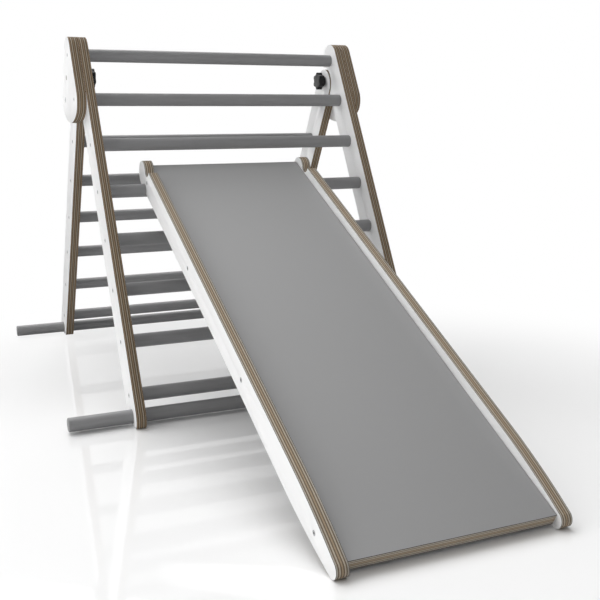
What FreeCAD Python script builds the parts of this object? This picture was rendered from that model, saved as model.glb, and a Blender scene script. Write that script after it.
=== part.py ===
# Folding climbing triangle with a lift-off slide, in millimetres.
# Two ladders lean on each other below a pair of hinge plates, and the slide hangs on a front rung.
# X runs along the rungs, -Y is the slide's side, Z is up and the floor is Z = 0.
# The origin is the middle of the whole object's footprint.
import FreeCAD, Part
import Sketcher
import math
import os
import re

# Driving sizes, in millimetres, degrees and counts
SIZES = {
    "half_angle": 29.8,
    "rail_thickness": 22,
    "rail_width": 79,
    "inner_width": 650,
    "rung_radius": 15,
    "rung_pitch": 120,
    "front_rung_count": 8,
    "rear_rung_count": 7,
    "rungs_above_slide_count": 3,
    "bar_gap": 46,
    "bar_height": 18,
    "bar_overhang": 135,
    "foot_round": 8,
    "glue_line": 0.1,
    "running_gap": 0.3,
    "head_rise": 3,
    "head_drop": 70,
    "head_gap": 6,
    "plate_screw_count": 2,
    "bolt_drop": 60,
    "groove_depth": 12,
    "screw_radius": 2.5,
    "screw_head_radius": 4.5,
    "screw_head_height": 3,
    "screw_grip": 38,
    "screw_slack": 0.15,
    "screw_side_count": 6,
    "pivot_radius": 4,
    "pivot_slack": 0.05,
    "pivot_head_radius": 6,
    "pivot_head_height": 3.5,
    "bolt_radius": 4,
    "insert_radius": 6,
    "washer_radius": 12,
    "washer_thickness": 1.6,
    "knob_radius": 22.5,
    "knob_lobe_count": 6,
    "knob_lobe_radius": 6.3,
    "knob_valley_radius": 9.5,
    "knob_hub_radius": 12,
    "knob_hub_height": 7,
    "knob_head_height": 15,
    "knob_bore_depth": 16,
    "slide_width": 422,
    "slide_shift": -26,
    "slide_depth": 57,
    "slide_board": 22,
    "slide_rail_thickness": 22,
    "slide_run": 1114,
    "slide_taper": 184,
    "slide_tip_radius": 15,
    "deck_top_reach": 51,
    "deck_side_gap": 1.2,
    "slide_screw_count": 4,
    "slide_screw_start": 12,
    "slide_screw_end": 67,
    "slide_screw_grip": 34,
    "overrun": 5,
}

# Sizes worked out in the sheet from the driving ones
WORKED = {
    "bar_drop": "(front_rung_count - 1) * rung_pitch + bar_gap",
    "half_width": "inner_width / 2 + rail_thickness",
    "rear_half_width": "half_width - running_gap",
    "bar_length": "2 * (half_width + bar_overhang)",
    "plate_face": "half_width + rail_thickness",
    "apex_z": "bar_drop * cos(half_angle) + bar_height",
    "foot_reach": "bar_drop * sin(half_angle) + rail_width / 2",
    "foot_low": "bar_height - foot_round",
    "foot_across": "sqrt((rail_width / 2 - foot_round) ^ 2 - foot_low ^ 2)",
    "foot_share": "rail_width / (rail_width - 2 * foot_round)",
    "foot_rise": "((rail_width / 2 - foot_round) * sin(half_angle) - foot_low) / cos(half_angle)",
    "foot_back": "(rail_width / 2 - foot_round) * cos(half_angle) + foot_rise * sin(half_angle)",
    "seat_radius": "rung_radius + running_gap",
    "slide_lip": "(slide_depth - slide_board) / 2",
    "slide_top": "slide_lip + slide_board + seat_radius",
    "slide_base": "slide_top - slide_depth",
    "slide_mid": "slide_top - slide_depth / 2",
    "hang_drop": "rungs_above_slide_count * rung_pitch",
    "hang_z": "apex_z - hang_drop * cos(half_angle)",
    "slide_slope": "asin((hang_z - slide_tip_radius) / sqrt(slide_run ^ 2 + slide_mid ^ 2))"
                   " + atan(slide_mid / slide_run)",
    "tip_reach": "hang_drop * sin(half_angle) + slide_run * cos(slide_slope)"
                 " + slide_mid * sin(slide_slope) + slide_tip_radius",
    "apex_y": "(tip_reach - foot_reach) / 2",
    "hang_y": "apex_y - hang_drop * sin(half_angle)",
    "plate_rise": "head_rise * cos(half_angle) / (1 - sin(half_angle))",
    "plate_top_radius": "rail_width / 2 - plate_rise * sin(half_angle)",
    "plate_reach": "rung_pitch + rail_width / 2",
    "pivot_y": "apex_y + rung_pitch * sin(half_angle)",
    "pivot_z": "apex_z - rung_pitch * cos(half_angle)",
    "bolt_y": "apex_y + bolt_drop * sin(half_angle)",
    "bolt_z": "apex_z - bolt_drop * cos(half_angle)",
    "fold_angle": "2 * half_angle",
    "bolt_length": "groove_depth + rail_thickness + running_gap + washer_thickness + knob_bore_depth",
    "lobe_reach": "knob_radius - knob_lobe_radius",
    "lobe_step": "360 / knob_lobe_count",
    "lobe_share": "knob_lobe_radius / (knob_lobe_radius + knob_valley_radius)",
    "valley_reach": "lobe_reach * cos(lobe_step / 2)"
                    " + sqrt((knob_lobe_radius + knob_valley_radius) ^ 2 - (lobe_reach * sin(lobe_step / 2)) ^ 2)",
    "slide_end": "sqrt((slide_depth / 2 + seat_radius) ^ 2 - slide_mid ^ 2)",
    "slide_tangent_share": "seat_radius / (seat_radius + slide_depth / 2)",
    "slide_chord": "sqrt(seat_radius ^ 2 - slide_base ^ 2)",
    "slide_screw_pitch": "(slide_run - slide_screw_start - slide_screw_end) / (slide_screw_count - 1)",
    "taper_radius": "(slide_taper ^ 2 / (slide_depth / 2 - slide_tip_radius)"
                    " + slide_tip_radius + slide_depth / 2) / 2",
    "taper_share": "slide_tip_radius / (taper_radius - slide_tip_radius)",
    "taper_rise": "(taper_radius - slide_depth / 2) * taper_share",
}

doc = FreeCAD.newDocument("ClimbingTriangle")
sheet = doc.addObject("Spreadsheet::Sheet", "Sizes")
CELLS = set(SIZES) | set(WORKED)


def fill_sheet():
    """One row per size: its name, then its number or its formula."""
    rows = [(name, str(value)) for name, value in SIZES.items()]
    rows += [(name, "=" + text) for name, text in WORKED.items()]
    for row, (name, text) in enumerate(rows, start=1):
        sheet.set(f"A{row}", name)
        sheet.set(f"B{row}", text)
        sheet.setAlias(f"B{row}", name)
        sheet.recompute()


def formula(text):
    """The text with each size's name pointing into the sheet."""
    return re.sub(r"[A-Za-z_]\w*", lambda m: "Sizes." + m[0] if m[0] in CELLS else m[0], str(text))


def value(text):
    """The number that a formula gives now."""
    found = sheet.evalExpression(formula(text))
    return float(getattr(found, "Value", found))


def bind(piece, **formulas):
    """Tie properties to the sheet; two underscores stand for a dot in the property's path."""
    for path, text in formulas.items():
        piece.setExpression(path.replace("__", "."), formula(text))


def place(piece, spot, turn="0", axis="1, 0, 0", first=""):
    """Tie a piece's placement to a spot and a turn in degrees about an axis."""
    x, y, z = spot
    rest = f" * rotation({first})" if first else ""
    text = f"placement(vector({x}, {y}, {z}), rotation(vector({axis}), {turn}){rest})"
    piece.setExpression("Placement", formula(text))


def rod(name, radius, length, spot):
    """A round bar along +X from its left end's centre."""
    piece = doc.addObject("Part::Cylinder", name)
    bind(piece, Radius=radius, Height=length)
    place(piece, spot, "90", "0, 1, 0")
    return piece


def faceted_rod(name, radius, length, spot):
    """The same bar with flat sides, for screws and their holes, where few faces are enough."""
    piece = doc.addObject("Part::Prism", name)
    bind(piece, Polygon="screw_side_count", Circumradius=radius, Height=length)
    place(piece, spot, "90", "0, 1, 0")
    return piece


def fuse(name, pieces):
    piece = doc.addObject("Part::MultiFuse", name)
    piece.Shapes = pieces
    return piece


def cut(name, base, tools):
    piece = doc.addObject("Part::Cut", name)
    piece.Base = base
    piece.Tool = tools[0] if len(tools) == 1 else fuse(name + "_tools", tools)
    return piece


def group(name, pieces):
    piece = doc.addObject("Part::Compound", name)
    piece.Links = pieces
    return piece


def mirror(name, source, plane_x="0"):
    """The same piece on the other side of an upright plane across X."""
    piece = doc.addObject("Part::Mirroring", name)
    piece.Source = source
    piece.Normal = (1, 0, 0)
    piece.setExpression("Base.x", formula(plane_x))
    return piece


def pin(sketch, geometry, end, kind, text):
    """Hold one point of a sketch across (DistanceX) or up (DistanceY) at a formula of the sheet."""
    number = value(text)
    if abs(number) < ON_AXIS:
        axis = {"DistanceX": -2, "DistanceY": -1}[kind]
        sketch.addConstraint(Sketcher.Constraint("PointOnObject", geometry, end, axis))
        return
    ends = (-1, 1, geometry, end) if number > 0 else (geometry, end, -1, 1)
    index = sketch.addConstraint(Sketcher.Constraint(kind, *ends, abs(number)))
    sign = "" if number > 0 else "-"
    sketch.setExpression(f"Constraints[{index}]", formula(f"{sign}({text})"))


def outline(body, role, path):
    """A closed sketch: each step is (across, up) for a line or (across, up, centre, turn) for an arc."""
    sketch = body.newObject("Sketcher::SketchObject", body.Name + "_sketch")
    plane = next(item for item in body.Origin.OriginFeatures if item.Role == role)
    sketch.AttachmentSupport = [(plane, "")]
    sketch.MapMode = "FlatFace"
    spots = [FreeCAD.Vector(value(step[0]), value(step[1]), 0) for step in path]
    ends = []
    for index, step in enumerate(path):
        start, stop = spots[index - 1], spots[index]
        if len(step) == 2:
            ends.append((sketch.addGeometry(Part.LineSegment(start, stop)), 1, 2))
            continue
        centre = FreeCAD.Vector(value(step[2][0]), value(step[2][1]), 0)
        first, last = (start, stop) if step[3] == "left" else (stop, start)
        angles = [math.atan2(spot.y - centre.y, spot.x - centre.x) for spot in (first, last)]
        circle = Part.Circle(centre, FreeCAD.Vector(0, 0, 1), (start - centre).Length)
        arc = sketch.addGeometry(Part.ArcOfCircle(circle, *angles))
        ends.append((arc, 1, 2) if step[3] == "left" else (arc, 2, 1))
    for index, (geometry, first, last) in enumerate(ends):
        before = ends[index - 1]
        sketch.addConstraint(Sketcher.Constraint("Coincident", before[0], before[2], geometry, first))
        pin(sketch, geometry, last, "DistanceX", path[index][0])
        pin(sketch, geometry, last, "DistanceY", path[index][1])
        if len(path[index]) > 2:
            across, up = path[index][2]
            chord = spots[index] - spots[index - 1]
            steep = abs(chord.y) > abs(chord.x)
            pin(sketch, geometry, 3, *(("DistanceX", across) if steep else ("DistanceY", up)))
    return sketch


def board(name, thickness, path, spot, turn="0", first=""):
    """A flat board: an outline in the YZ plane, as thick as asked towards +X."""
    body = doc.addObject("PartDesign::Body", name)
    sketch = outline(body, "YZ_Plane", path)
    pad = body.newObject("PartDesign::Pad", name + "_pad")
    pad.Profile = sketch
    bind(pad, Length=thickness)
    place(body, spot, turn, first=first)
    return body


def down(side, distance):
    """Y and Z of a point that far down a ladder's middle line from the top; side is + or -."""
    return (f"apex_y {side} ({distance}) * sin(half_angle)", f"apex_z - ({distance}) * cos(half_angle)")


def screw(name, spot, length, head="screw_head_radius", height="screw_head_height", shank="screw_radius",
          stem=faceted_rod):
    """A screw driven towards +X, its head's outer face at the spot."""
    x, y, z = spot
    top = faceted_rod(name + "_head", head, height, spot)
    return fuse(name, [top, stem(name + "_shank", shank, f"{length} - {height}", (f"{x} + {height}", y, z))])


def screw_hole(name, spot, length):
    """The space for a screw: a counterbore for its head and a hole for its shank."""
    x, y, z = spot
    sink = faceted_rod(name + "_sink", "screw_head_radius + screw_slack", "screw_head_height + overrun",
                       (f"{x} - overrun", y, z))
    return [sink, faceted_rod(name + "_bore", "screw_radius + screw_slack", length, spot)]


fill_sheet()
ON_AXIS = 1e-9
PLATE_LEFT = "-plate_face"
FACE_LEFT = "-half_width"
FACE_REAR = "-rear_half_width"
parts = {}


def rung(name, side, distance, slack, bore, shape):
    """A ladder's rung between its rails, with a pilot hole for a screw in each end."""
    y, z = down(side, distance)
    left = f"-(inner_width / 2 - {slack})"
    blank = rod(name + "_blank", "rung_radius", f"inner_width - 2 * {slack}", (left, y, z))
    depth = "(screw_grip + overrun)"
    bores = [shape(name + "_left_bore", bore, f"{depth} + overrun", (f"{left} - overrun", y, z)),
             shape(name + "_right_bore", bore, f"{depth} + overrun", (f"-({left}) - {depth}", y, z))]
    parts[name] = cut(name, blank, bores)


def rungs():
    pilot = "screw_radius + screw_slack"
    for number in range(SIZES["front_rung_count"]):
        rung(f"front_rung_{number + 1}", "-", f"{number} * rung_pitch", "0", pilot, faceted_rod)
    rung("rear_rung_1", "+", "rung_pitch", "running_gap", "pivot_radius + glue_line", rod)
    for number in range(2, SIZES["rear_rung_count"] + 1):
        rung(f"rear_rung_{number}", "+", f"{number} * rung_pitch", "running_gap", pilot, faceted_rod)


def floor_bars():
    for name, side in (("front_floor_bar", "-"), ("rear_floor_bar", "+")):
        y, z = down(side, "bar_drop")
        parts[name] = rod(name, "rung_radius", "bar_length", ("-bar_length / 2", y, z))


def foot_point(across, up):
    """A point given level and upright from the floor bar's axis, in the front rail's own axes."""
    return (f"({across}) * cos(half_angle) - ({up}) * sin(half_angle)",
            f"({across}) * sin(half_angle) + ({up}) * cos(half_angle) - bar_drop")


def rail_blank(name, top, spot, turn, first=""):
    """A straight rail, round at its top, with a foot cut flat for the floor and eased at its corners."""
    edge = "rail_width / 2"
    path = [
        (f"-{edge}", "-bar_drop"),
        (*foot_point("-foot_across * foot_share", "-foot_low * foot_share"), ("0", "-bar_drop"), "left"),
        (*foot_point("-foot_across", "-bar_height"), foot_point("-foot_across", "-foot_low"), "left"),
        foot_point("foot_back", "-bar_height"),
        (edge, "foot_rise - bar_drop", (f"{edge} - foot_round", "foot_rise - bar_drop"), "left"),
        (edge, top),
        (f"-{edge}", top, ("0", top), "left"),
    ]
    return board(name, "rail_thickness", path, spot, turn, first)


def rail_tools(name, side, face, numbers):
    """Screw holes and the floor bar's hole of one left rail."""
    tools = []
    for number in numbers:
        y, z = down(side, f"{number} * rung_pitch")
        tools += screw_hole(f"{name}_{number}", (face, y, z), "rail_thickness + overrun")
    tools.append(rod(name + "_bar_hole", "rung_radius + glue_line", "rail_thickness + 2 * overrun",
                     (f"{face} - overrun", *down(side, "bar_drop"))))
    return tools


def front_rail():
    """Left front rail, scooped where the rear rail's head stands."""
    blank = rail_blank("front_left_blank", "head_rise", (FACE_LEFT, "apex_y", "apex_z"), "-half_angle")
    tools = rail_tools("front_left", "-", FACE_LEFT, range(2, SIZES["front_rung_count"]))
    start = f"{FACE_LEFT} - overrun"
    length = "rail_thickness + 2 * overrun"
    for number in range(SIZES["plate_screw_count"]):
        spot = (start, *down("-", f"{number} * rung_pitch"))
        tools.append(faceted_rod(f"front_left_plate_bore_{number}", "screw_radius + screw_slack", length, spot))
    tools.append(rod("front_left_scoop", "rail_width / 2 + head_gap", length, (start, *down("+", "head_drop"))))
    parts["front_left_rail"] = cut("front_left_rail", blank, tools)


def rear_rail():
    """Left rear rail: the front rail's outline turned about, with holes for the pivot and the knob's bolt."""
    spot = (f"{FACE_REAR} + rail_thickness", "apex_y", "apex_z")
    blank = rail_blank("rear_left_blank", "-head_drop", spot, "half_angle", "vector(0, 0, 1), 180")
    tools = rail_tools("rear_left", "+", FACE_REAR, range(2, SIZES["rear_rung_count"] + 1))
    start = f"{FACE_REAR} - overrun"
    length = "rail_thickness + 2 * overrun"
    tools.append(rod("rear_left_pivot_hole", "pivot_radius + glue_line", length, (start, "pivot_y", "pivot_z")))
    tools.append(rod("rear_left_bolt_hole", "bolt_radius + running_gap", length, (start, "bolt_y", "bolt_z")))
    parts["rear_left_rail"] = cut("rear_left_rail", blank, tools)


def bolt_groove():
    """A blind groove in the left plate's inner face, where the bolt's end swings out as the ladders fold."""
    start = "-(half_width + groove_depth)"
    length = "groove_depth + overrun"
    half = "(bolt_radius + running_gap)"
    sectors = []
    for name, sign in (("outer", "+"), ("inner", "-")):
        sector = doc.addObject("Part::Cylinder", "left_groove_" + name)
        bind(sector, Radius=f"rung_pitch - bolt_drop {sign} {half}", Height=length, Angle="fold_angle")
        place(sector, (start, "pivot_y", "pivot_z"), "90 - half_angle", first="vector(1, 1, 1), 120")
        sectors.append(sector)
    return [cut("left_groove", sectors[0], sectors[1:]),
            rod("left_groove_end", half, length, (start, "bolt_y", "bolt_z"))]


def hinge_plate():
    """Left hinge plate: round at the top and about rung 2 and the pivot, with its sides along the rails' edges."""
    top = ("plate_top_radius * cos(half_angle)", "plate_rise + plate_top_radius * sin(half_angle)")
    corner = ("rung_pitch * sin(half_angle)", "-rung_pitch * cos(half_angle)")
    side = (f"{corner[0]} + rail_width / 2 * cos(half_angle)", f"{corner[1]} + rail_width / 2 * sin(half_angle)")
    low = ("plate_reach * sin(half_angle)", "-plate_reach * cos(half_angle)")
    path = [
        (f"-{top[0]}", top[1], ("0", "plate_rise"), "left"),
        (f"-({side[0]})", side[1]),
        (f"-{low[0]}", low[1], (f"-{corner[0]}", corner[1]), "left"),
        (*low, ("0", "0"), "left"),
        (*side, corner, "left"),
        top,
    ]
    blank = board("left_plate_blank", "rail_thickness", path, (PLATE_LEFT, "apex_y", "apex_z"))
    tools = bolt_groove()
    for number in range(SIZES["plate_screw_count"]):
        spot = (PLATE_LEFT, *down("-", f"{number} * rung_pitch"))
        tools += screw_hole(f"left_plate_{number}", spot, "rail_thickness + overrun")
    start = f"{PLATE_LEFT} - overrun"
    tools.append(faceted_rod("left_plate_insert_hole", "insert_radius + glue_line",
                             "rail_thickness - groove_depth + overrun", (start, "bolt_y", "bolt_z")))
    tools.append(rod("left_plate_pivot_sink", "pivot_head_radius + running_gap", "pivot_head_height + overrun",
                     (start, "pivot_y", "pivot_z")))
    tools.append(rod("left_plate_pivot_bore", "pivot_radius + pivot_slack", "rail_thickness + 2 * overrun",
                     (start, "pivot_y", "pivot_z")))
    parts["left_hinge_plate"] = cut("left_hinge_plate", blank, tools)


def screws():
    """Rung screws, plate screws and pivot screws of the left side."""
    length = "rail_thickness + screw_grip"
    for name, side, face, first, last in (
            ("front_left_screws", "-", FACE_LEFT, SIZES["plate_screw_count"], SIZES["front_rung_count"]),
            ("rear_left_screws", "+", FACE_REAR, 2, SIZES["rear_rung_count"] + 1)):
        one_side = [screw(f"{name}_{number}", (face, *down(side, f"{number} * rung_pitch")), length)
                    for number in range(first, last)]
        parts[name] = group(name, one_side)
    long_screws = [screw(f"left_plate_screw_{number}", (PLATE_LEFT, *down("-", f"{number} * rung_pitch")),
                         f"rail_thickness + {length}") for number in range(SIZES["plate_screw_count"])]
    parts["left_plate_screws"] = group("left_plate_screws", long_screws)
    parts["left_pivot_screw"] = screw("left_pivot_screw", (PLATE_LEFT, "pivot_y", "pivot_z"),
                                      f"rail_thickness + {length}", "pivot_head_radius", "pivot_head_height",
                                      "pivot_radius", rod)


def knob_hardware():
    """Left clamp: the star knob with its bolt, a washer, and the threaded insert in the hinge plate."""
    spot = ("bolt_y", "bolt_z")
    parts["left_knob_bolt"] = rod("left_knob_bolt", "bolt_radius", "bolt_length",
                                  ("running_gap - half_width - groove_depth", *spot))
    seat = f"{FACE_REAR} + rail_thickness + running_gap / 2"
    disc = rod("left_washer_disc", "washer_radius", "washer_thickness", (seat, *spot))
    hole = rod("left_washer_hole", "bolt_radius + running_gap", "washer_thickness + 2 * overrun",
               (f"{seat} - overrun", *spot))
    parts["left_knob_washer"] = cut("left_knob_washer", disc, [hole])
    shell = faceted_rod("left_insert_shell", "insert_radius", "rail_thickness - groove_depth", (PLATE_LEFT, *spot))
    hole = rod("left_insert_hole", "bolt_radius + pivot_slack", "rail_thickness + overrun",
               (f"{PLATE_LEFT} - overrun", *spot))
    parts["left_knob_insert"] = cut("left_knob_insert", shell, [hole])
    parts["left_star_knob"] = star_knob(f"{seat} + washer_thickness + running_gap / 2")


def star_knob(start):
    """A lobed head on a round hub, with a blind bore for the bolt."""
    path = []
    for number in range(SIZES["knob_lobe_count"]):
        lobe = [f"lobe_reach * {turn}({number} * lobe_step)" for turn in ("cos", "sin")]
        for half, kind in ((-1, "valley"), (1, "lobe")):
            valley = [f"valley_reach * {turn}(({number} + {half} / 2) * lobe_step)" for turn in ("cos", "sin")]
            point = [f"{near} + ({far} - {near}) * lobe_share" for near, far in zip(lobe, valley)]
            path.append((*point, valley, "right") if kind == "valley" else (*point, lobe, "left"))
    body = doc.addObject("PartDesign::Body", "left_knob_head")
    pad = body.newObject("PartDesign::Pad", "left_knob_pad")
    pad.Profile = outline(body, "XY_Plane", path)
    bind(pad, Length="knob_head_height")
    spot = (start, "bolt_y", "bolt_z")
    place(body, (f"{start} + knob_hub_height", *spot[1:]), "90", "0, 1, 0")
    hub = rod("left_knob_hub", "knob_hub_radius", "knob_hub_height", spot)
    bore = rod("left_knob_bore", "bolt_radius + glue_line", "overrun + knob_bore_depth + glue_line",
               (f"{start} - overrun", *spot[1:]))
    return cut("left_star_knob", fuse("left_knob_whole", [body, hub]), [bore])


def slide_spot(along, above):
    """Y and Z of a point of the slide: along its slope from the rung's axis, and square above it."""
    return (f"hang_y + ({along}) * cos(slide_slope) - ({above}) * sin(slide_slope)",
            f"hang_z + ({along}) * sin(slide_slope) + ({above}) * cos(slide_slope)")


def slide_rail():
    """Left slide rail: a round head with a notch on each edge for the rung, and a tapered foot."""
    foot = "-slide_run"
    bend = "-(slide_run - slide_taper)"
    upper = "2 * slide_mid"
    tangent = ("slide_end * slide_tangent_share", "slide_mid * slide_tangent_share")
    tip = (f"{foot} - slide_taper * taper_share", "taper_rise")
    path = [
        ("-slide_chord", "slide_top"),
        (tangent[0], f"{upper} - {tangent[1]}", ("0", upper), "left"),
        (*tangent, ("slide_end", "slide_mid"), "right"),
        ("-slide_chord", "slide_base", ("0", "0"), "left"),
        (bend, "slide_base"),
        (tip[0], f"slide_mid - {tip[1]}", (bend, "slide_base + taper_radius"), "right"),
        (tip[0], f"slide_mid + {tip[1]}", (foot, "slide_mid"), "right"),
        (bend, "slide_top", (bend, "slide_top - taper_radius"), "right"),
    ]
    x = "slide_shift - slide_width / 2"
    blank = board("slide_left_blank", "slide_rail_thickness", path, (x, "hang_y", "hang_z"), "slide_slope")
    tools = []
    pieces = []
    for number in range(SIZES["slide_screw_count"]):
        y, z = slide_spot(f"-slide_screw_start - {number} * slide_screw_pitch", "slide_mid")
        tools += screw_hole(f"slide_left_{number}", (x, y, z), "slide_rail_thickness + overrun")
        pieces.append(screw(f"slide_left_screw_{number}", (x, y, z), "slide_rail_thickness + slide_screw_grip"))
    parts["slide_left_rail"] = cut("slide_left_rail", blank, tools)
    parts["slide_left_screws"] = group("slide_left_screws", pieces)


def slide_deck():
    """The deck board between the slide's rails, with pilot holes for its screws."""
    blank = doc.addObject("Part::Box", "slide_deck_blank")
    bind(blank, Length="slide_width - 2 * (slide_rail_thickness + deck_side_gap)",
         Width="slide_run + deck_top_reach", Height="slide_board")
    x = "slide_shift - slide_width / 2 + slide_rail_thickness + deck_side_gap"
    far = "slide_shift + slide_width / 2 - slide_rail_thickness"
    place(blank, (x, *slide_spot("-slide_run", "seat_radius")), "slide_slope")
    tools = []
    for number in range(SIZES["slide_screw_count"]):
        spot = slide_spot(f"-slide_screw_start - {number} * slide_screw_pitch", "slide_mid")
        for end, start in (("left", f"{x} - overrun"),
                           ("right", f"{far} - slide_screw_grip - overrun")):
            tools.append(faceted_rod(f"slide_deck_{end}_{number}", "screw_radius + screw_slack",
                                     "slide_screw_grip + 2 * overrun", (start, *spot)))
    parts["slide_deck"] = cut("slide_deck", blank, tools)


def right_hand_pieces():
    """Each left-hand piece again on the right, across the ladder's or the slide's middle."""
    for name in [name for name in parts if "left" in name]:
        plane = "slide_shift" if name.startswith("slide") else "0"
        other = name.replace("left", "right")
        parts[other] = mirror(other, parts[name], plane)


def check_and_write():
    """Stop on any failed object or bad solid, then write one STEP file for each sub-part."""
    for item in doc.Objects:
        if "Invalid" in item.State or "Error" in item.State:
            raise RuntimeError(f"{item.Name} failed: {item.State}")
    os.makedirs("parts", exist_ok=True)
    for name, piece in parts.items():
        shape = piece.Shape
        if shape.isNull() or not shape.isValid() or not shape.Solids:
            raise RuntimeError(f"{name} has no valid solid")
        piece.Label = name
        shape.exportStep(f"parts/{name}.step")


rungs()
floor_bars()
front_rail()
rear_rail()
hinge_plate()
screws()
knob_hardware()
slide_rail()
slide_deck()
right_hand_pieces()
doc.recompute()
check_and_write()
print(f"{len(parts)} sub-parts written")
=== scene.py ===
# Looks of a folding climbing triangle with a lift-off slide, in metres.
# X runs along the rungs, -Y is the slide's side, and Z is up from the floor.
import math

import bpy
from mathutils import Matrix, Vector


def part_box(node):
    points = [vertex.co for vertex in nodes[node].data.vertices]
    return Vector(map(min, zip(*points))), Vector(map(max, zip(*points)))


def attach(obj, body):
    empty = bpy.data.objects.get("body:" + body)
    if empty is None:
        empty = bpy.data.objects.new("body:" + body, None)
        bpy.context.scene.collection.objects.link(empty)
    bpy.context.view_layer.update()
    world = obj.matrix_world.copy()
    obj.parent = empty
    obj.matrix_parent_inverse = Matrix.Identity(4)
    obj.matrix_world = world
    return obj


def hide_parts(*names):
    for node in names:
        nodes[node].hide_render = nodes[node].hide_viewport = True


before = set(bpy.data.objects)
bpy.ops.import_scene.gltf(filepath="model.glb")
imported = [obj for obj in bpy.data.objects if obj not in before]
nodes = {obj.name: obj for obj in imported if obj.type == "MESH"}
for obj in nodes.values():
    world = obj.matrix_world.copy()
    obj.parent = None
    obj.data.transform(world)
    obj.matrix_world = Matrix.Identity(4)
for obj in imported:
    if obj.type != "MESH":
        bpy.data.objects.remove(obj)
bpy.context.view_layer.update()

MM = 0.001
SIDES = ("left", "right")

# Turns: a cylinder laid along X, and a fitting made for the left that faces out on either side
ALONG_X = (0, math.radians(90), 0)
UNTURNED = Matrix.Identity(4)
OUTWARD = {"left": UNTURNED, "right": Matrix.Rotation(math.pi, 4, "Z")}

# How near points merge, how flat faces join, and how near its place and direction a picked face lies
MERGE_REACH = 0.002 * MM
FLAT_ANGLE = math.radians(0.4)
PICK_REACH = 0.1 * MM
PICK_ALIGNED = 0.9

# How far edges are rounded; a head's ease is at most a share of how proud it stands
ARRIS = 0.7 * MM
DECK_ARRIS = 0.6 * ARRIS
RUNG_EASE = 0.6 * MM
BAR_EASE = 2 * MM
KNOB_EASE = 1.3 * MM
BOLT_EASE = 0.6 * MM
WASHER_EASE = 0.25 * MM
HEAD_EASE = 0.3 * MM
HEAD_EASE_SHARE = 0.9

# Rungs, screws and inserts; a screw's sizes are its head's radius and height, and its shank's radius
FRONT_RUNGS = 8
REAR_RUNGS = 7
RUNG_SIDES = 72
WOOD_SCREW = (4.8 * MM, 3.0 * MM, 2.5 * MM)
PIVOT_SCREW = (6.6 * MM, 3.5 * MM, 4.0 * MM)
HEAD_SIDES = 48
HEAD_PROUD = 0.25 * MM
SOCKET_SHARE = 0.32
SOCKET_SIDES = 6
INSERT_PROUD = 0.05 * MM
INSERT_CENTRE_HOLE = 1.2 * MM
INSERT_TAIL = 1 * MM
INSERT_TAIL_SHARE = 0.9
THREAD_PITCH = 1.25 * MM

# Colours, as the paint, the wood or the metal has them in linear light; the socket's shade and part of the
# resin brown are painted shade
PAINT_GREY = (0.25, 0.25, 0.253)
# Partly painted shade: besides the real resin line, this brown darkens the eased arrises as shade in the
# seams between boards
RESIN_AND_SEAM_SHADE_BROWN = (0.06, 0.034, 0.024)
VENEER_GREY = (0.50, 0.47, 0.41)
VENEER_PALE = (0.60, 0.52, 0.41)
VENEER_TAN = (0.46, 0.34, 0.22)
VENEER_BROWN = (0.19, 0.135, 0.085)
BLACK = (0.004, 0.004, 0.0045)
BRIGHT_STEEL = (0.62, 0.62, 0.63)
# Painted shade: the dark inside of a screw's socket, where shade falls in the recess
SOCKET_PAINTED_SHADE = (0.05, 0.05, 0.05)
PALE_BRASS = (0.42, 0.40, 0.35)

# A laminate's colour, roughness and specular level
WHITE_LAMINATE = ((0.88, 0.88, 0.88), 0.45, 0.2)
GREY_LAMINATE = ((0.355, 0.355, 0.357), 0.75, 0.15)

# A board's bare layers: their tone, which lightens or darkens each board's plies as painted light for how
# light falls on its edges, how far they calm to one grey, and the resin line's share, which also paints
# shade at the seams
FRAME_PLY = (0.77, 0.0, 0.035)
SLIDE_PLY = (0.95, 0.1, 0.035)
DECK_PLY = (1.15, 0.25, 0.075)
FACE_SHARE = 0.005
FACE_MARGIN = 0.001
PLY_WANDER = 0.004
EDGE_ROUGHNESS = 0.8

# Grain, marks, pits, grit and thread: how each is stretched, moved or scaled, and how deep it lies
NOISE_SPAN = (0.3, 0.7)
PLY_GRAIN = (90, 4, 90)
PLY_GRAIN_SHIFT = (1, 1.7, 0)
PLY_STREAK = 0.68
PLY_GRAIN_DEPTH = 0.12 * MM
RUNG_GRAIN = (3, 120, 120)
RUNG_GRAIN_TONE = (0.94, 1.06)
RUNG_GRAIN_DEPTH = 0.05 * MM
BRUSH_MARKS = (0.2, 1, 1)
BRUSH_SCALE = 900
BRUSH_DEPTH = 0.01 * MM
PIT_SCALE = 2600
PIT_DEPTH = 0.04 * MM
GRIT_SCALE = 3000
THREAD_DEPTH = 0.3 * MM

# The floor: its colour to the camera and to other rays, and how it fades to white far from the object
FLOOR_SIZE = 60
FLOOR_DROP = 0.3 * MM
FLOOR_PALE = (0.93, 0.93, 0.93)
FLOOR_BOUNCE = (0.7, 0.7, 0.7)
FLOOR_ROUGHNESS = 0.03
FLOOR_FADE = (0.55, 1.6)
FADE_SHIFT = (0.1, 0.45, 0)
FLOOR_GLOW = 0.22
FLOOR_GLOW_SEEN = 1.0

# The surround's light at five heights, behind the object and before it, and how far in Y the two blend
SKY_HEIGHTS = (0.0, 0.15, 0.35, 0.6, 0.9)
SKY_BACK = (3.5, 0.0, 0.72, 0.22, 0.0)
SKY_FRONT = (5.1, 0.0, 0.0, 0.0, 0.9)
SKY_BLEND = 0.3

# The left panel, and the far lights by bearing from the rear, rise and breadth in degrees, and strength
PANEL_PLACE = (-2.1, -0.5, 0.55)
PANEL_AIM = (0, -0.1, 0.4)
PANEL_SIZE = 1.4
PANEL_POWER = 11
FAR_LIGHTS = ((0, 50, 44, 1.35), (0, 70, 44, 0.5), (-55, 45, 44, 1.0))

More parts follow.
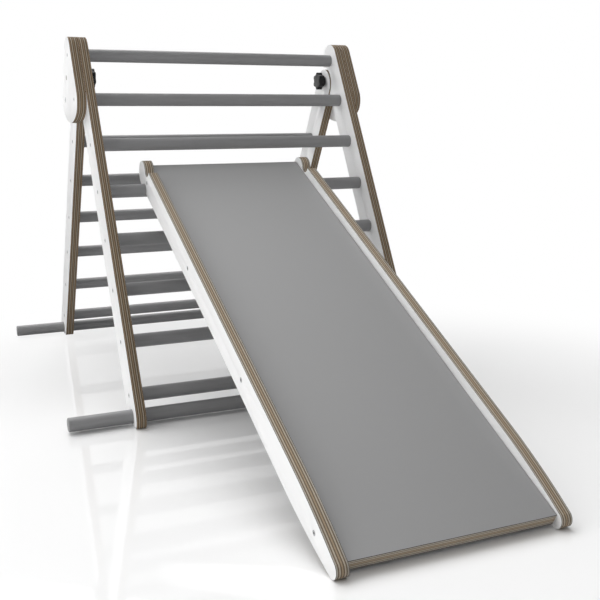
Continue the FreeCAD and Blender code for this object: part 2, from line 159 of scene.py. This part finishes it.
# The camera, in metres, degrees and millimetres
CAMERA_PLACE = (-0.7523, -1.8903, 0.6624)
CAMERA_TILT = 77.9376
CAMERA_BEARING = -23.7183
CAMERA_LENS = 53.843
CAMERA_SENSOR = 36


# Small helpers for modelling

def take(piece):
    """Only this piece is selected, and it is active."""
    bpy.ops.object.select_all(action="DESELECT")
    piece.select_set(True)
    bpy.context.view_layer.objects.active = piece


def in_mode(mode):
    """Go to edit mode or to object mode."""
    bpy.ops.object.mode_set(mode=mode)


def pick_faces(piece, test):
    """Select the faces whose middle and normal pass a test, and stay in edit mode."""
    take(piece)
    in_mode("EDIT")
    bpy.ops.mesh.select_mode(type="FACE")
    bpy.ops.mesh.select_all(action="DESELECT")
    in_mode("OBJECT")
    for face in piece.data.polygons:
        face.select = bool(test(face.center, face.normal))
    in_mode("EDIT")


def apply(piece, kind, **settings):
    """Add one modifier, set it and apply it."""
    take(piece)
    modifier = piece.modifiers.new(kind.title(), kind)
    for name, value in settings.items():
        setattr(modifier, name, value)
    bpy.ops.object.modifier_apply(modifier=modifier.name)


def ease(piece, width, segments=2, angle=35):
    """Round every sharp edge a little."""
    apply(piece, "BEVEL", width=width, segments=segments, limit_method="ANGLE",
          angle_limit=math.radians(angle), use_clamp_overlap=True)


def smooth(piece, angle=28):
    """Shade smooth across edges that turn by less than an angle."""
    take(piece)
    bpy.ops.object.shade_smooth_by_angle(angle=math.radians(angle))


def settle(piece):
    """Put the place into the mesh, so the object itself sits at the origin."""
    take(piece)
    bpy.ops.object.transform_apply(location=True, rotation=True, scale=True)


def cylinder(radius, length, centre, sides):
    """A round bar along X."""
    bpy.ops.mesh.primitive_cylinder_add(vertices=sides, radius=radius, depth=length,
                                        location=centre, rotation=ALONG_X)
    piece = bpy.context.active_object
    settle(piece)
    return piece


def merge(piece):
    """Merge loose corners and join flat triangles into whole faces."""
    take(piece)
    in_mode("EDIT")
    bpy.ops.mesh.select_all(action="SELECT")
    bpy.ops.mesh.remove_doubles(threshold=MERGE_REACH)
    bpy.ops.mesh.dissolve_limited(angle_limit=FLAT_ANGLE)
    in_mode("OBJECT")


def new_piece(name, mesh):
    """An object of its own for a mesh."""
    piece = bpy.data.objects.new(name, mesh)
    mesh.name = name
    bpy.context.scene.collection.objects.link(piece)
    return piece


def copy_of(node, name):
    """A new piece with a node's mesh, merged."""
    piece = new_piece(name, nodes[node].data.copy())
    merge(piece)
    return piece


def twin(piece, name, shift, turn=UNTURNED):
    """The same shape again, turned and then moved, with a mesh of its own."""
    other = new_piece(name, piece.data.copy())
    other.data.transform(Matrix.Translation(shift) @ turn)
    return other


def join(pieces, name):
    """Several meshes as one piece."""
    take(pieces[0])
    for piece in pieces[1:]:
        piece.select_set(True)
    if len(pieces) > 1:
        bpy.ops.object.join()
    pieces[0].name = name
    pieces[0].data.name = name
    return pieces[0]


def finish_piece(piece, node, body, finish=None):
    """Give a piece its finish, if it has none yet, and its body, and hide the node that it stands for."""
    if finish:
        piece.data.materials.clear()
        piece.data.materials.append(finishes[finish])
    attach(piece, body)
    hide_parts(node)


def eased_copy(node, name, body, finish, width, segments=2, angle=35, smooth_angle=28):
    """A node's own shape with rounded edges, in place of the node."""
    piece = copy_of(node, name)
    ease(piece, width, segments, angle)
    smooth(piece, smooth_angle)
    finish_piece(piece, node, body, finish)


def middle(node):
    """The middle of a node's box."""
    low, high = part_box(node)
    return (low + high) / 2


def outer_end(low, high, side):
    """The middle of a fitting's outer end, at its low X on the left and at its high X on the right."""
    centre = (low + high) / 2
    return Vector((low.x if side == "left" else high.x, centre.y, centre.z))


def solids_of(node):
    """The lowest and highest corner of each separate solid of a node, the uppermost first."""
    probe = copy_of(node, "probe")
    take(probe)
    bpy.ops.mesh.separate(type="LOOSE")
    found = []
    for piece in list(bpy.context.selected_objects):
        corners = [vertex.co for vertex in piece.data.vertices]
        low = Vector(min(corner[axis] for corner in corners) for axis in range(3))
        high = Vector(max(corner[axis] for corner in corners) for axis in range(3))
        found.append((low, high))
        bpy.data.objects.remove(piece)
    return sorted(found, key=lambda box: -box[0].z)


# Where things are, read from the frame

def slide_line():
    """The slide's slope, and the middle of the uppermost screw in its left rail."""
    screws = solids_of("slide_left_screws")
    top, foot = ((low + high) / 2 for low, high in (screws[0], screws[-1]))
    return math.atan2(top.z - foot.z, top.y - foot.y), top


def thickness_of_deck(slope):
    """How thick the deck is square to its slope, from its box in Y and Z."""
    low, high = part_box("slide_deck")
    level, upright = high.y - low.y, high.z - low.z
    rise, run = math.sin(slope), math.cos(slope)
    return (level * rise - upright * run) / (rise ** 2 - run ** 2)


def outer_face(node):
    """How far out from the middle plane a left-hand board reaches."""
    return -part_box(node)[0].x


lean = math.atan2(*(middle("front_rung_1") - middle(f"front_rung_{FRONT_RUNGS}")).yz)
slope, deck_screw = slide_line()
board_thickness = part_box("front_left_rail")[1].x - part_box("front_left_rail")[0].x
slide_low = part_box("slide_left_rail")[0].x
slide_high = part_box("slide_right_rail")[1].x
slide_middle = (slide_low + slide_high) / 2
slide_reach = (slide_high - slide_low) / 2
deck_thickness = thickness_of_deck(slope)
deck_face = deck_screw + Vector((0, -math.sin(slope), math.cos(slope))) * (deck_thickness / 2)


# Materials

class Nodes:
    """A node tree, with short calls to add and join its nodes."""

    def __init__(self, tree, coordinates):
        self.tree = tree
        self.place = self.add("ShaderNodeTexCoord").outputs[coordinates]

    def add(self, kind, **settings):
        """A new node of a kind, with its settings."""
        node = self.tree.nodes.new(kind)
        for name, value in settings.items():
            setattr(node, name, value)
        return node

    def feed(self, source, socket):
        """Join a socket to another, or set it to a number or a colour."""
        if isinstance(source, bpy.types.NodeSocket):
            self.tree.links.new(source, socket)
        elif socket.type == "RGBA":
            socket.default_value = (*source, 1)
        else:
            socket.default_value = source

    def through(self, kind, *sources, **settings):
        """Pass sources through a new node, and give its first output."""
        node = self.add(kind, **settings)
        for source, socket in zip(sources, node.inputs):
            self.feed(source, socket)
        return node.outputs[0]

    def math(self, operation, *values):
        """One step of arithmetic."""
        return self.through("ShaderNodeMath", *values, operation=operation)

    def axes(self):
        """The place's X, Y and Z."""
        node = self.add("ShaderNodeSeparateXYZ")
        self.feed(self.place, node.inputs[0])
        return node.outputs

    def spread(self, value, low, high, to_low, to_high, curve="LINEAR"):
        """A value's range stretched to another, held at its ends."""
        return self.through("ShaderNodeMapRange", value, low, high, to_low, to_high,
                            interpolation_type=curve)

    def bands(self, value, steps, interpolation="CONSTANT"):
        """A colour for each stretch of a value: steps are (start share, colour)."""
        node = self.add("ShaderNodeValToRGB")
        ramp = node.color_ramp
        ramp.interpolation = interpolation
        while len(ramp.elements) < len(steps):
            ramp.elements.new(1.0)
        for element, (start, colour) in zip(ramp.elements, steps):
            element.position = start
            element.color = (*colour, 1)
        self.feed(value, node.inputs["Fac"])
        return node.outputs["Color"]

    def grey(self, value):
        """A value as a shade between black and white."""
        return self.bands(value, [(0.0, (0, 0, 0)), (1.0, (1, 1, 1))], "LINEAR")

    def mix(self, share, first, second, blend="MIX"):
        """Two colours mixed by a share: the node's colours are its inputs 6 and 7 and its output 2."""
        node = self.add("ShaderNodeMix", data_type="RGBA", blend_type=blend)
        for source, socket in ((share, "Factor"), (first, 6), (second, 7)):
            self.feed(source, node.inputs[socket])
        return node.outputs[2]

    def seen(self):
        """1 for what the camera sees by itself, and 0 for reflections and light."""
        return self.add("ShaderNodeLightPath").outputs["Is Camera Ray"]


class Recipe(Nodes):
    """A material made of nodes that read Object coordinates."""

    def __init__(self, name):
        self.material = bpy.data.materials.new(name)
        self.material.use_nodes = True
        super().__init__(self.material.node_tree, "Object")
        self.shader = self.tree.nodes["Principled BSDF"]

    def turned(self, scale=(1, 1, 1), location=(0, 0, 0), turn=(0, 0, 0)):
        """Object coordinates, stretched, turned and moved."""
        node = self.add("ShaderNodeMapping", vector_type="POINT")
        self.feed(self.place, node.inputs["Vector"])
        node.inputs["Location"].default_value = location
        node.inputs["Rotation"].default_value = turn
        node.inputs["Scale"].default_value = scale
        return node.outputs["Vector"]

    def noise(self, vector, scale, detail, roughness=0.55):
        """Cloudy noise between 0 and 1, which mostly stays in its middle."""
        node = self.add("ShaderNodeTexNoise")
        self.feed(vector, node.inputs["Vector"])
        node.inputs["Scale"].default_value = scale
        node.inputs["Detail"].default_value = detail
        node.inputs["Roughness"].default_value = roughness
        return node.outputs["Fac"]

    def colour(self, source):
        """Set the surface's colour."""
        self.feed(source, self.shader.inputs["Base Color"])

    def bump(self, height, depth, strength):
        """Tilt the surface's shading by a height, as if it were so deep."""
        node = self.add("ShaderNodeBump")
        node.inputs["Strength"].default_value = strength
        node.inputs["Distance"].default_value = depth
        self.feed(height, node.inputs["Height"])
        self.feed(node.outputs["Normal"], self.shader.inputs["Normal"])

    def gloss(self, roughness, **settings):
        """Set the roughness, and plain numbers on the shader's own sockets."""
        self.feed(roughness, self.shader.inputs["Roughness"])
        for name, value in settings.items():
            self.shader.inputs[name.replace("_", " ")].default_value = value


def shade_of(colour, share):
    """A colour made darker or lighter by a share."""
    return tuple(share * channel for channel in colour)


def ply_steps(face, ply):
    """Bands through a board: its face, a dark line of resin that also paints shade into the seams at the
    arrises, nine plies, and resin and face again.
    """
    tone, calm, resin_and_seam_shade_share = ply
    # The tone is painted light: each board's plies lighter or darker for how light falls on them
    grey, pale, tan, brown = (
        [tone * (channel + calm * (level - channel)) for channel, level in zip(colour, VENEER_GREY)]
        for colour in (VENEER_GREY, VENEER_PALE, VENEER_TAN, VENEER_BROWN))
    outer = grey if calm else tan
    plies = (outer, brown, pale, brown, tan, brown, pale, brown, outer)
    first = FACE_SHARE + resin_and_seam_shade_share
    ply_share = (1 - 2 * first) / len(plies)
    steps = [(0.0, face), (FACE_SHARE, RESIN_AND_SEAM_SHADE_BROWN)]
    for number, colour in enumerate(plies):
        steps.append((first + ply_share * number, colour))
    return steps + [(1 - first, RESIN_AND_SEAM_SHADE_BROWN), (1 - FACE_SHARE, face)]


def board_finish(name, laminate, ply, depth, grain_turn, seed):
    """Layered birch board with laminate faces; depth reads how far through the board a point lies."""
    face, face_roughness, shine = laminate
    recipe = Recipe(name)
    shift = [seed * share for share in PLY_GRAIN_SHIFT]
    along = recipe.turned(PLY_GRAIN, shift, (grain_turn, 0, 0))
    share = depth(recipe)
    drift = recipe.noise(along, scale=0.6, detail=2)
    wander = recipe.spread(drift, *NOISE_SPAN, -PLY_WANDER, PLY_WANDER)
    margin = FACE_SHARE + FACE_MARGIN
    waved = recipe.math("MAXIMUM", recipe.math("ADD", share, wander), margin)
    waved = recipe.math("MINIMUM", waved, 1 - margin)
    grain = recipe.noise(along, scale=6.0, detail=6, roughness=0.7)
    streaks = recipe.spread(grain, 0.25, 0.75, PLY_STREAK, 1.0)
    edge = recipe.mix(1.0, recipe.bands(waved, ply_steps(face, ply)), recipe.grey(streaks), "MULTIPLY")
    is_edge = recipe.math("MULTIPLY", recipe.math("GREATER_THAN", share, FACE_SHARE),
                          recipe.math("LESS_THAN", share, 1 - FACE_SHARE))
    recipe.colour(recipe.mix(is_edge, face, edge))
    recipe.gloss(recipe.spread(is_edge, 0.0, 1.0, face_roughness, EDGE_ROUGHNESS), Specular_IOR_Level=shine)
    recipe.bump(recipe.noise(along, scale=12.0, detail=5, roughness=0.65), PLY_GRAIN_DEPTH, strength=0.4)
    return recipe.material


def across_x(reach, centre=0.0):
    """How far through an upright board a point lies, from its outer face in, on either side of a plane."""
    def depth(recipe):
        out = recipe.math("ABSOLUTE", recipe.math("SUBTRACT", recipe.axes()[0], centre))
        return recipe.math("DIVIDE", recipe.math("SUBTRACT", reach, out), board_thickness)
    return depth


def across_deck(recipe):
    """How far down through the sloping deck a point lies, from its upper face."""
    _, y, z = recipe.axes()
    y = recipe.math("MULTIPLY", recipe.math("SUBTRACT", y, deck_face.y), -math.sin(slope))
    z = recipe.math("MULTIPLY", recipe.math("SUBTRACT", z, deck_face.z), math.cos(slope))
    return recipe.math("DIVIDE", recipe.math("MULTIPLY", recipe.math("ADD", y, z), -1.0), deck_thickness)


def paint_finish():
    """Satin grey paint on turned beech, with a trace of the grain."""
    recipe = Recipe("grey_paint")
    grain = recipe.noise(recipe.turned(RUNG_GRAIN), scale=2.0, detail=5, roughness=0.6)
    tone = recipe.spread(grain, *NOISE_SPAN, *RUNG_GRAIN_TONE)
    recipe.colour(recipe.mix(1.0, PAINT_GREY, recipe.grey(tone), "MULTIPLY"))
    recipe.gloss(recipe.spread(grain, *NOISE_SPAN, 0.42, 0.52), Specular_IOR_Level=0.4)
    recipe.bump(grain, RUNG_GRAIN_DEPTH, strength=0.4)
    return recipe.material


def plastic_finish():
    """Moulded black plastic with a fine spark-eroded texture."""
    recipe = Recipe("black_plastic")
    pits = recipe.noise(recipe.turned(), PIT_SCALE, detail=3, roughness=0.6)
    recipe.colour(recipe.mix(recipe.spread(pits, *NOISE_SPAN, 0.0, 1.0), BLACK, shade_of(BLACK, 2)))
    recipe.gloss(roughness=0.45, Specular_IOR_Level=0.35)
    recipe.bump(pits, PIT_DEPTH, strength=0.5)
    return recipe.material


def metal_finish(name, colour, roughness):
    """Plated metal with fine marks."""
    recipe = Recipe(name)
    marks = recipe.noise(recipe.turned(BRUSH_MARKS), BRUSH_SCALE, detail=3, roughness=0.6)
    recipe.colour(recipe.mix(recipe.spread(marks, 0.35, 0.65, 0.0, 1.0), shade_of(colour, 0.7), colour))
    recipe.gloss(recipe.spread(marks, *NOISE_SPAN, roughness - 0.06, roughness + 0.08), Metallic=1.0)
    recipe.bump(marks, BRUSH_DEPTH, strength=0.4)
    return recipe.material


def thread_finish():
    """Zinc plated bolt whose thread is cut as ridges along X, with painted shade in the grooves."""
    recipe = Recipe("bolt_thread")
    ridge = recipe.math("SINE", recipe.math("MULTIPLY", recipe.axes()[0], 2 * math.pi / THREAD_PITCH))
    height = recipe.spread(ridge, -1.0, 1.0, 0.0, 1.0)
    # Painted shade: the steel is darker down in the thread's grooves
    recipe.colour(recipe.mix(height, shade_of(BRIGHT_STEEL, 0.45), BRIGHT_STEEL))
    recipe.gloss(roughness=0.32, Metallic=1.0)
    recipe.bump(ridge, THREAD_DEPTH, strength=0.8)
    return recipe.material


def painted_socket_shade_finish():
    """The inside of a screw's socket, painted dull and dark as the shade in the recess."""
    recipe = Recipe("screw_socket_painted_shade")
    grit = recipe.noise(recipe.turned(), GRIT_SCALE, detail=2, roughness=0.5)
    recipe.colour(recipe.mix(grit, SOCKET_PAINTED_SHADE, shade_of(SOCKET_PAINTED_SHADE, 2)))
    recipe.gloss(roughness=0.6, Metallic=0.6)
    return recipe.material


finishes = {
    "front_rail": board_finish("front_rail_board", WHITE_LAMINATE, FRAME_PLY,
                               across_x(outer_face("front_left_rail")), lean, seed=1.3),
    "rear_rail": board_finish("rear_rail_board", WHITE_LAMINATE, FRAME_PLY,
                              across_x(outer_face("rear_left_rail")), -lean, seed=4.1),
    "plate": board_finish("plate_board", WHITE_LAMINATE, FRAME_PLY,
                          across_x(outer_face("left_hinge_plate")), math.radians(90), seed=7.7),
    "slide_rail": board_finish("slide_rail_board", WHITE_LAMINATE, SLIDE_PLY,
                               across_x(slide_reach, slide_middle), -slope, seed=2.9),
    "deck": board_finish("deck_board", GREY_LAMINATE, DECK_PLY, across_deck, -slope, seed=5.3),
    "paint": paint_finish(),
    "plastic": plastic_finish(),
    "zinc": metal_finish("zinc_steel", BRIGHT_STEEL, roughness=0.4),
    "thread": thread_finish(),
    "socket": painted_socket_shade_finish(),
    "brass": metal_finish("pale_brass", PALE_BRASS, roughness=0.55),
}


# The pieces

def boards():
    """Rails, plates, slide rails and deck: the nodes' shapes with eased arrises."""
    for side in SIDES:
        for node, body, finish in (
                (f"front_{side}_rail", "root", "front_rail"),
                (f"rear_{side}_rail", "rear_ladder", "rear_rail"),
                (f"{side}_hinge_plate", "root", "plate"),
                (f"slide_{side}_rail", "slide", "slide_rail")):
            eased_copy(node, node + "_board", body, finish, ARRIS)
    eased_copy("slide_deck", "slide_deck_board", "slide", "deck", DECK_ARRIS)


def turned_bar(node, ease_width):
    """A round bar as long and as thick as its node, with eased ends."""
    low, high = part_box(node)
    piece = cylinder((high.z - low.z) / 2, high.x - low.x, (low + high) / 2, RUNG_SIDES)
    piece.name = node + "_bar"
    piece.data.name = node + "_bar"
    ease(piece, ease_width, segments=3)
    smooth(piece)
    return piece


def bars():
    """Rungs of both ladders and their floor bars."""
    for ladder, body, count in (("front", "root", FRONT_RUNGS), ("rear", "rear_ladder", REAR_RUNGS)):
        first = f"{ladder}_rung_1"
        master = turned_bar(first, RUNG_EASE)
        rungs = [(first, master)]
        for number in range(2, count + 1):
            node = f"{ladder}_rung_{number}"
            rungs.append((node, twin(master, node + "_bar", middle(node) - middle(first))))
        floor_bar = f"{ladder}_floor_bar"
        rungs.append((floor_bar, turned_bar(floor_bar, BAR_EASE)))
        for node, piece in rungs:
            finish_piece(piece, node, body, "paint")


def round_head(radius, height, proud, socket, shank, length):
    """Along +X from the origin, a low round head with a six-sided socket, and then its shank."""
    head = cylinder(radius, height + proud, ((height - proud) / 2, 0, 0), HEAD_SIDES)
    key = cylinder(socket, height, (-proud, 0, 0), SOCKET_SIDES)
    apply(head, "BOOLEAN", object=key, operation="DIFFERENCE", solver="EXACT")
    bpy.data.objects.remove(key)
    ease(head, min(HEAD_EASE_SHARE * proud, HEAD_EASE), angle=50)
    pick_faces(head, lambda spot, normal: normal.x > PICK_ALIGNED and spot.x > height - PICK_REACH)
    bpy.ops.mesh.inset(thickness=radius - shank)
    bpy.ops.mesh.extrude_region_move(TRANSFORM_OT_translate={"value": (length - height, 0, 0)})
    in_mode("OBJECT")
    head.data.materials.append(finishes["zinc"])
    # The socket's inside gets the finish of painted shade
    head.data.materials.append(finishes["socket"])
    for face in head.data.polygons:
        deep = face.center.x < height and math.hypot(face.center.y, face.center.z) < socket
        face.material_index = 1 if deep else 0
    smooth(head)
    return head


def screws():
    """Round heads with sockets, in place of each node of screws."""
    kinds = [(f"{ladder}_{side}_screws", body, WOOD_SCREW, side)
             for ladder, body in (("front", "root"), ("rear", "rear_ladder"), ("slide", "slide"))
             for side in SIDES]
    kinds += [(f"{side}_plate_screws", "root", WOOD_SCREW, side) for side in SIDES]
    kinds += [(f"{side}_pivot_screw", "rear_ladder", PIVOT_SCREW, side) for side in SIDES]
    for node, body, (radius, height, shank), side in kinds:
        spots = solids_of(node)
        low, high = spots[0]
        master = round_head(radius, height, HEAD_PROUD, radius * SOCKET_SHARE, shank, high.x - low.x)
        pieces = [twin(master, f"{node}_{number}", outer_end(low, high, side), OUTWARD[side])
                  for number, (low, high) in enumerate(spots)]
        bpy.data.objects.remove(master)
        finish_piece(join(pieces, node + "_round"), node, body)


def insert_end(side):
    """The insert in a hinge plate, shut at its outer end but for a small centre hole, whose inside is
    painted dark as shade.
    """
    node = f"{side}_knob_insert"
    low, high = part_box(node)
    radius, length = (high.z - low.z) / 2, high.x - low.x
    master = round_head(radius, length - INSERT_TAIL, INSERT_PROUD, INSERT_CENTRE_HOLE,
                        radius * INSERT_TAIL_SHARE, length)
    plug = twin(master, f"{side}_insert_plug", outer_end(low, high, side), OUTWARD[side])
    bpy.data.objects.remove(master)
    finish_piece(plug, node, "root", "brass")


def knobs():
    """Star knobs with soft lobes on their threaded bolts, the washers, and the inserts in the plates."""
    for side in SIDES:
        knob = f"{side}_knob"
        eased_copy(f"{side}_star_knob", f"{knob}_grip", knob, "plastic", KNOB_EASE,
                   segments=4, angle=50, smooth_angle=40)
        eased_copy(f"{knob}_bolt", f"{side}_bolt_thread", knob, "thread", BOLT_EASE)
        eased_copy(f"{knob}_washer", f"{side}_washer_ring", "rear_ladder", "zinc", WASHER_EASE)
        insert_end(side)


# The studio

def floor():
    """A wide pale floor with a sharp gloss, which fades to plain white away from the object."""
    bpy.ops.mesh.primitive_plane_add(size=FLOOR_SIZE, location=(0, 0, -FLOOR_DROP))
    plane = bpy.context.active_object
    plane.name = "floor"
    settle(plane)
    recipe = Recipe("pale_floor")
    rays = recipe.seen()
    recipe.colour(recipe.mix(rays, FLOOR_BOUNCE, FLOOR_PALE))
    recipe.gloss(FLOOR_ROUGHNESS, Specular_IOR_Level=0.5)
    away = recipe.add("ShaderNodeVectorMath", operation="LENGTH")
    recipe.feed(recipe.turned(location=FADE_SHIFT), away.inputs[0])
    fade = recipe.spread(away.outputs["Value"], *FLOOR_FADE, 0.0, 1.0, "SMOOTHERSTEP")
    glow = recipe.add("ShaderNodeEmission")
    recipe.feed(recipe.spread(rays, 0.0, 1.0, FLOOR_GLOW, FLOOR_GLOW_SEEN), glow.inputs["Strength"])
    surface = recipe.through("ShaderNodeMixShader", fade, recipe.shader.outputs[0], glow.outputs[0])
    recipe.feed(surface, recipe.tree.nodes["Material Output"].inputs["Surface"])
    plane.data.materials.append(recipe.material)


def new_lamp(name, kind, strength):
    """A lamp of a kind, with its place and direction still to set."""
    light = bpy.data.lights.new(name, kind)
    light.energy = strength
    lamp = bpy.data.objects.new(name, light)
    bpy.context.scene.collection.objects.link(lamp)
    return lamp


def left_panel():
    """A soft square light on the left, which shows in no reflection."""
    lamp = new_lamp("left_panel", "AREA", PANEL_POWER)
    lamp.data.shape = "SQUARE"
    lamp.data.size = PANEL_SIZE
    lamp.location = PANEL_PLACE
    lamp.rotation_euler = (Vector(PANEL_AIM) - Vector(PANEL_PLACE)).to_track_quat("-Z", "Y").to_euler()
    lamp.visible_camera = False
    lamp.visible_glossy = False


def far_light(name, bearing, rise, breadth, strength):
    """A wide, far light, by its bearing from the rear, its rise and its breadth in degrees."""
    lamp = new_lamp(name, "SUN", strength)
    lamp.data.angle = math.radians(breadth)
    bearing, rise = math.radians(bearing), math.radians(rise)
    away = Vector((math.sin(bearing) * math.cos(rise), math.cos(bearing) * math.cos(rise), math.sin(rise)))
    lamp.rotation_euler = away.to_track_quat("Z", "Y").to_euler()


def surround():
    """White to the camera, and a light of its own by height, before and behind the object."""
    world = bpy.data.worlds.new("surround")
    bpy.context.scene.world = world
    world.use_nodes = True
    sky = Nodes(world.node_tree, "Generated")
    _, y, z = sky.axes()
    before, behind = (
        sky.bands(z, [(height, (level,) * 3) for height, level in zip(SKY_HEIGHTS, levels)], "LINEAR")
        for levels in (SKY_FRONT, SKY_BACK))
    lit = sky.add("ShaderNodeBackground")
    sky.feed(sky.mix(sky.spread(y, -SKY_BLEND, SKY_BLEND, 0.0, 1.0), before, behind), lit.inputs["Color"])
    plain = sky.tree.nodes["Background"]
    sky.feed((1, 1, 1), plain.inputs["Color"])
    surface = sky.through("ShaderNodeMixShader", sky.seen(), lit.outputs[0], plain.outputs[0])
    sky.feed(surface, sky.tree.nodes["World Output"].inputs["Surface"])


def studio():
    """The surround, the panel and the far lights, shown without any film look."""
    surround()
    left_panel()
    for number, far in enumerate(FAR_LIGHTS):
        far_light(f"back_light_{number}", *far)
    bpy.context.scene.view_settings.view_transform = "Standard"


def camera():
    """The photograph's view."""
    data = bpy.data.cameras.new("camera")
    data.sensor_width = CAMERA_SENSOR
    data.lens = CAMERA_LENS
    view = bpy.data.objects.new("camera", data)
    bpy.context.scene.collection.objects.link(view)
    view.location = CAMERA_PLACE
    view.rotation_euler = (math.radians(CAMERA_TILT), 0, math.radians(CAMERA_BEARING))
    bpy.context.scene.camera = view


boards()
bars()
screws()
knobs()
floor()
studio()
camera()
